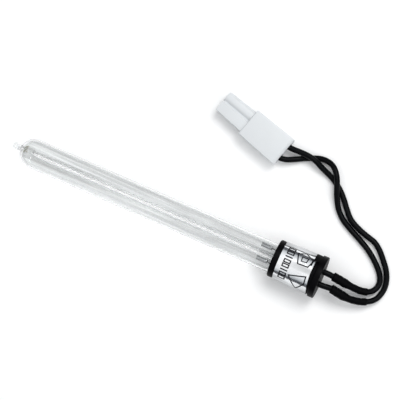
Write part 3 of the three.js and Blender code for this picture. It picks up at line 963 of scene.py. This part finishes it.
class LAMP_OT_label(bpy.types.Operator):
    """Wraps the foil label round the barrel and prints its plain marks"""

    bl_idname = "uvlamp.label"
    bl_label = "Foil label"

    SEAM = math.radians(3.2)
    INK_HEIGHT = 0.012
    # Plain outlines in label millimetres, behind the collar and round the cap, with their strokes.
    OUTLINES = (
        ([(5.4, -5.0), (8.0, -6.4), (11.2, -4.4), (10.2, -1.6), (6.6, -1.4)], 0.42),
        ([(7.2, -4.3), (9.4, -4.5), (9.2, -2.9), (7.4, -2.7)], 0.36),
        ([(5.2, 3.6), (10.9, 1.7), (11.1, 4.4), (8.7, 8.4)], 0.45),
    )

    def execute(self, context):
        front = COLLAR_REAR + 0.15
        sheet = bmesh.new()
        bmesh.ops.create_grid(sheet, x_segments=40, y_segments=180, size=0.5)
        for vert in sheet.verts:
            angle = -math.pi + self.SEAM + (vert.co.y + 0.5) * (FULL_TURN - 2 * self.SEAM)
            rear = NECK_FRONT - 0.15 + 0.85 * max(0.0, math.sin(angle)) ** 1.5
            x = front + (rear - front) * (vert.co.x + 0.5)
            vert.co = self.wrapped(x, angle, 0.0)
        bmesh.ops.recalc_face_normals(sheet, faces=sheet.faces)
        outwards = (f.normal.dot(Vector((0, *f.calc_center_median().yz))) for f in sheet.faces)
        if sum(outwards) < 0:
            bmesh.ops.reverse_faces(sheet, faces=sheet.faces)
        bmesh.ops.solidify(sheet, geom=sheet.faces, thickness=LABEL_THICKNESS * 0.6)
        refine("foil_label", on_table(sheet, lamp_place()), "foil", 50)
        self.marks()
        return {"FINISHED"}

    @staticmethod
    def wrapped(x, angle, height):
        """A point on the label, whose film lies in slow waves; the angle runs from the top to -Y."""
        wave = 0.025 * noise.noise(Vector((x * 0.35, angle * 2.0, 3.0)))
        radius = label_radius(x) + height + wave
        return Vector((x, -radius * math.sin(angle), radius * math.cos(angle)))

    def marks(self):
        """Generic print: boxes and bars across the front, plain outlines and a thick bar behind."""
        flat = bmesh.new()
        self.front_row(flat)
        for corners, thick in self.OUTLINES:
            self.outline(flat, corners, thick)
        self.bar(flat, (11.0, -3.9), 0.62, 2.9, 0.05)
        reach = mm(sizes().label_rear) / 2
        for vert in flat.verts:
            vert.co = self.wrapped(COLLAR_REAR + vert.co.x, vert.co.y / reach, self.INK_HEIGHT)
        mesh = on_table(flat, lamp_place(), turn_outwards=False)
        add_piece("label_print", mesh, "ink", 50)

    @staticmethod
    def bar(bm, middle, wide, tall, turn=0.0, cuts=(2, 8)):
        """A filled bar of the print, in label millimetres: along the cap and round it."""
        place = Matrix.Translation((*middle, 0)) @ Matrix.Rotation(turn, 4, "Z")
        matrix = place @ Matrix.Diagonal((wide, tall, 1, 1))
        bmesh.ops.create_grid(bm, x_segments=cuts[0], y_segments=cuts[1], size=0.5, matrix=matrix)

    def front_row(self, bm):
        """A row of plain boxes, with every third one a bar, round the front of the label."""
        front, rear, half = 2.0, 4.2, 0.52
        for i in range(8):
            middle = -5.6 + 1.62 * i
            if i % 3 == 2:
                self.bar(bm, ((front + rear) / 2, middle), 2.6, 0.5)
                continue
            low, high = middle - half, middle + half
            self.outline(bm, [(front, low), (rear, low), (rear, high), (front, high)], 0.45)

    def outline(self, bm, corners, thick):
        """A closed outline of straight strokes."""
        for start, end in zip(corners, corners[1:] + corners[:1]):
            a, b = Vector(start), Vector(end)
            turn = math.atan2(*(b - a).yx)
            self.bar(bm, (a + b) / 2, (b - a).length + thick, thick, turn, (12, 1))


class LAMP_OT_flange(bpy.types.Operator):
    """Makes the rear flange with its neck, spigot, key lug and two lead holes"""

    bl_idname = "uvlamp.flange"
    bl_label = "Rear flange"

    def execute(self, context):
        flange, neck = mm(sizes().flange) / 2, mm(sizes().neck) / 2
        spigot = label_radius(NECK_FRONT) - 1.2
        outline = [
            (NECK_FRONT - 1.6, 0), (NECK_FRONT - 1.6, spigot), (NECK_FRONT, spigot),
            (NECK_FRONT, neck), (FLANGE_FRONT, neck), (FLANGE_FRONT, flange),
            (REAR, flange), (REAR, 0),
        ]
        steps = [("UNION", self.lug())]
        for side in (-1, 1):
            hole = rod(NECK_FRONT - 3, REAR + 1, mm(cords().lead) / 2 + 0.08)
            steps.append(("DIFFERENCE", shifted(hole, (0, side * LEAD_PITCH / 2, 0))))
        whole = combined(turned(rounded(outline, 0.25)), *steps)
        refine("rear_flange", on_table(whole, lamp_place()), "moulding")
        return {"FINISHED"}

    @staticmethod
    def lug():
        """The key lug, a short curved rib on the neck that laps over the label's edge."""
        bm = bmesh.new()
        low, high = math.radians(17), math.radians(52)
        root, over_label, outer = 6.3, 7.16, 7.34
        front, step, rear = NECK_FRONT - 0.8, NECK_FRONT + 0.1, FLANGE_FRONT + 0.2
        outline = (
            (step, root), (step, over_label), (front, over_label), (front, outer), (rear, outer),
            (rear, root),
        )
        verts = [bm.verts.new((x, r * math.cos(low), r * math.sin(low))) for x, r in outline]
        bmesh.ops.spin(
            bm, geom=[bm.faces.new(verts)], cent=(0, 0, 0), axis=(1, 0, 0), angle=high - low,
            steps=12, use_merge=False,
        )
        bmesh.ops.holes_fill(bm, edges=bm.edges)
        return bm


# ---- Operators: the connector ----


class LAMP_OT_connector(bpy.types.Operator):
    """Moulds the white connector: body, two-lobed nose, cavities and locking ramp"""

    bl_idname = "uvlamp.connector"
    bl_label = "Connector housing"

    # How much narrower the body and the nose are at their front ends.
    BODY_DRAFT = 10.4 / 11.1
    NOSE_DRAFT = 7.9 / 8.6
    CAVITY = 3.3 / 2
    BORE = 1.25

    def execute(self, context):
        middle = mm(cords().body_height) / 2
        front = -BODY_LENGTH
        body = self.body(front)
        ramp = box((front - 4.2, -1.2, 0.5), (front - 2.2, 1.2, 1.9), 0.15, 3)
        steps = [("UNION", part) for part in (*self.lobes(front, middle), ramp)]
        for side in (-1, 1):
            at_cavity = (0, side * CAVITY_PITCH / 2, middle)
            lead_in = turned([(-0.6, 0), (-0.6, 1.4), (0.1, 2.0), (0.1, 0)], 48)
            bore = rod(NOSE_END - 1, -11, self.BORE, 32)
            steps.append(("DIFFERENCE", shifted(rod(-12, 1, self.CAVITY), at_cavity)))
            steps.append(("DIFFERENCE", shifted(lead_in, at_cavity)))
            steps.append(("DIFFERENCE", shifted(bore, (0, side * CONTACT_PITCH / 2, middle))))
        whole = combined(body, *steps)
        refine("connector_housing", on_table(whole, connector_place()), "nylon", 35)
        return {"FINISHED"}

    def body(self, front):
        """The body's block: a flat chamfer along the rear edges, all edges then softened."""
        wide, tall = mm(cords().body_width), mm(cords().body_height)
        bm = box((front, -wide / 2, 0), (0, wide / 2, tall))
        rear = [
            e for e in bm.edges
            if all(abs(v.co.x) < MERGE for v in e.verts)
            and abs(e.verts[0].co.z - e.verts[1].co.z) < MERGE
        ]
        soften(bm, rear, 0.95, 1)
        soften(bm, bm.edges, 0.42, 4)
        self.draft(bm, front, 0, self.BODY_DRAFT)
        return bm

    @staticmethod
    def draft(bm, start, end, share):
        """Narrows a moulding towards its front."""
        for vert in bm.verts:
            along = (vert.co.x - start) / (end - start)
            vert.co.y *= share + (1 - share) * along

    def lobes(self, front, middle):
        """The square lobe, the round lobe and the web between them."""
        wide, tall = mm(cords().nose_width), mm(cords().nose_height)
        lobe = (wide - 0.3) / 2
        centre = wide / 2 - lobe / 2
        # Each row: place across, width, height, corner radius, and how far its end is set back.
        shapes = [
            (-centre, lobe, tall, 0.4, 0.0), (centre, lobe, tall, 1.8, 0.0),
            (0, 2.4, tall - 1.6, 0.2, 0.5),
        ]
        for y, width, height, corner, inset in shapes:
            part = box(
                (NOSE_END + inset, y - width / 2, middle - height / 2),
                (front + 1 + inset, y + width / 2, middle + height / 2), corner, 8, 0,
            )
            if not inset:
                at_end = [e for e in part.edges if all(abs(v.co.x - NOSE_END) < MERGE for v in e.verts)]
                soften(part, at_end, 0.22, 3)
            self.draft(part, NOSE_END, front, self.NOSE_DRAFT)
            yield part


class LAMP_OT_contacts(bpy.types.Operator):
    """Rolls the two crimp contacts that sit in the connector's cavities"""

    bl_idname = "uvlamp.contacts"
    bl_label = "Contacts"

    OUTER = 0.95
    SHEET = 0.2

    def execute(self, context):
        front = NOSE_END + 1.8
        rear, web = front + 15.5, front + 8.5
        outer, inner = self.OUTER, self.OUTER - self.SHEET
        profile = [
            (web - 1, 0), (web - 1, inner), (front, inner), (front, outer), (web, outer),
            (web + 0.5, 0.8 * outer), (web + 1.2, 0.8 * outer), (web + 1.7, outer), (rear, outer),
            (rear, inner), (web + 2.4, inner), (web + 2.4, 0),
        ]
        for name, side in (("a", 1), ("b", -1)):
            contact = turned(rounded(profile, 0.12, 3), 40)
            shifted(contact, (0, side * CONTACT_PITCH / 2, mm(cords().body_height) / 2))
            refine(f"contact_{name}", on_table(contact, connector_place()), "copper")
        return {"FINISHED"}


class LAMP_OT_inner_finishes(bpy.types.Operator):
    """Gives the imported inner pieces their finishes: beads, potting, ferrules and cores"""

    bl_idname = "uvlamp.inner_finishes"
    bl_label = "Inner pieces"

    def execute(self, context):
        inner = {"potting_block": "resin"}
        for name in ("a", "b"):
            inner[f"end_bead_{name}"] = "quartz"
            inner[f"splice_ferrule_{name}"] = "copper"
            inner[f"stripped_core_{name}"] = "copper"
        for node, finish in inner.items():
            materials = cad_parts[node].data.materials
            materials.clear()
            materials.append(material_of(finish))
        return {"FINISHED"}


class LAMP_OT_declare_cords(bpy.types.Operator):
    """Works out where each lead's free run starts, and keeps nothing of it"""

    bl_idname = "uvlamp.declare_cords"
    bl_label = "Cord facts"

    def execute(self, context):
        for name, facts in LEADS.items():
            line = lead_line(facts)
            start = plug_lead_start(facts)
            long = line_length(line)
            stretch_of(line, start, long)[0] * MM
        return {"FINISHED"}


# ---- Operator: the stage ----


class LAMP_OT_stage(bpy.types.Operator):
    """Lays the white table and hangs the studio light"""

    bl_idname = "uvlamp.stage"
    bl_label = "Stage"

    # Heights on the sky, from the horizon up to straight overhead, and its colour at each.
    SKY = (
        (0.0, "#161c24"), (0.31, "#1c242e"), (0.41, "#a4a8ac"), (0.7, "#e8eaec"), (0.92, "#ffffff"),
    )
    # The table's radius is in millimetres, and the lights' distance and sizes are in metres.
    TABLE_RADIUS = 900
    LIGHT_DISTANCE = 0.9

    def execute(self, context):
        table = bmesh.new()
        bmesh.ops.create_circle(table, cap_ends=True, radius=self.TABLE_RADIUS, segments=96)
        mesh = on_table(table, turn_outwards=False)
        mesh.materials.append(material_of("table"))
        linked("table", mesh)
        self.sky(context.scene)
        self.hang_light("key", (0.28, 0.70, 1.22), 0.45, 3.3)
        self.hang_light("fill", (1.0, 0.1, 0.35), 0.6, 1.6)
        context.scene.view_settings.view_transform = "Standard"
        return {"FINISHED"}

    def sky(self, scene):
        """A bright ceiling over dark walls."""
        world = bpy.data.worlds.new("studio")
        world.use_nodes = True
        scene.world = world
        tree = world.node_tree
        tree.nodes.clear()
        towards = add_node(tree, "ShaderNodeTexCoord").outputs["Generated"]
        height = add_node(tree, "ShaderNodeSeparateXYZ", Vector=towards).outputs["Z"]
        ramp = add_node(tree, "ShaderNodeValToRGB", Fac=height)
        stops = ramp.color_ramp.elements
        while len(stops) < len(self.SKY):
            stops.new(0.5)
        for stop, (place, hex_colour) in zip(stops, self.SKY):
            stop.position = place
            stop.color = (*linear(hex_colour), 1)
        glow = add_node(tree, "ShaderNodeBackground", {"Strength": 1.0}, Color=ramp.outputs["Color"])
        add_node(tree, "ShaderNodeOutputWorld", Surface=glow.outputs["Background"])

    def hang_light(self, name, towards, size, watts):
        """A round soft light that faces the middle of the table."""
        light = bpy.data.lights.new(name, "AREA")
        light.shape = "DISK"
        light.size = size
        light.energy = watts
        hung = linked(name, light)
        direction = Vector(towards).normalized()
        hung.location = direction * self.LIGHT_DISTANCE
        hung.rotation_mode = "QUATERNION"
        hung.rotation_quaternion = direction.to_track_quat("Z", "Y")


# ---- Panel and registration ----

STEPS = (
    LAMP_OT_camera,
    LAMP_OT_leads,
    LAMP_OT_sleeves,
    LAMP_OT_quartz_tube,
    LAMP_OT_mercury,
    LAMP_OT_electrodes,
    LAMP_OT_collar,
    LAMP_OT_shell,
    LAMP_OT_label,
    LAMP_OT_flange,
    LAMP_OT_connector,
    LAMP_OT_contacts,
    LAMP_OT_inner_finishes,
    LAMP_OT_declare_cords,
    LAMP_OT_stage,
)


class LAMP_PT_panel(bpy.types.Panel):
    """Lists the lamp's sizes, colours and building steps"""

    bl_idname = "LAMP_PT_panel"
    bl_label = "UV Lamp"
    bl_space_type = "VIEW_3D"
    bl_region_type = "UI"
    bl_category = "UV Lamp"

    def draw(self, context):
        for group in (sizes(), cords(), colours()):
            for name in group.__annotations__:
                self.layout.prop(group, name)
        for step in STEPS:
            self.layout.operator(step.bl_idname)


GROUPS = {"lamp_sizes": LampSizes, "cord_sizes": CordSizes, "lamp_colours": LampColours}


def register():
    for cls in (*GROUPS.values(), *STEPS, LAMP_PT_panel):
        bpy.utils.register_class(cls)
    for name, group in GROUPS.items():
        setattr(bpy.types.Scene, name, PointerProperty(type=group))


def unregister():
    for name in GROUPS:
        delattr(bpy.types.Scene, name)
    for cls in reversed((*GROUPS.values(), *STEPS, LAMP_PT_panel)):
        bpy.utils.unregister_class(cls)


def main():
    """Builds the whole lamp."""
    register()
    for step in STEPS:
        group, name = step.bl_idname.split(".")
        getattr(getattr(bpy.ops, group), name)()


if __name__ == "__main__":
    main()
